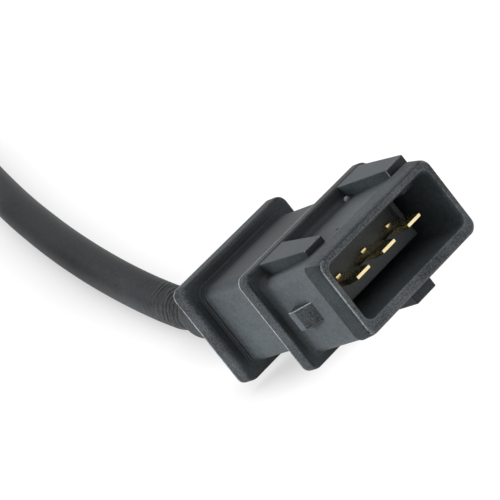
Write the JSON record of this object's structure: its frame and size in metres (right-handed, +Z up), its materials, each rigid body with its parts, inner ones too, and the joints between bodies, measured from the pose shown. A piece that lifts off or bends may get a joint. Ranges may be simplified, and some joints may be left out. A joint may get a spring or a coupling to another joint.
{
  "type": "crankshaft position sensor",
  "caption": "Crankshaft position sensor: a bolted pick-up head with a sealed nose, a short cable and a keyed blade connector in a moulded shroud.",
  "frame": {"origin": "centre of the head's seat, where the nose leaves the flange", "axes": "+X along the nose, away from the flange; +Z up from the surface the part lies on; +Y from the nose towards the bolt hole"},
  "size_m": [0.1773, 0.0682, 0.0234],
  "materials": {
    "connector_plastic": "fine moulded grain",
    "carrier_plastic": "satin",
    "head_plastic": "fine moulded grain",
    "gold_plate": "plated",
    "wire_insulation": "satin",
    "black_rubber": "matte",
    "cable_jacket": "satin",
    "steel": "turned",
    "magnet": "ground",
    "bobbin_plastic": "natural",
    "copper_wire": "enamelled"
  },
  "bodies": {
    "root": {"connector_housing": "connector_plastic", "contact_carrier": "carrier_plastic", "blade_1": "gold_plate", "blade_2": "gold_plate", "blade_3": "gold_plate", "connector_core_1": "wire_insulation", "connector_core_2": "wire_insulation", "connector_core_3": "wire_insulation", "connector_neck": "black_rubber", "cable": "cable_jacket", "sensor_housing": "head_plastic", "bolt_bush": "steel", "seal_ring": "black_rubber", "pole_pin": "steel", "magnet": "magnet", "bobbin": "bobbin_plastic", "winding": "copper_wire", "coil_terminal_1": "gold_plate", "coil_terminal_2": "gold_plate", "head_core_1": "wire_insulation", "head_core_2": "wire_insulation", "head_boot": "black_rubber"}
  },
  "joints": []
}
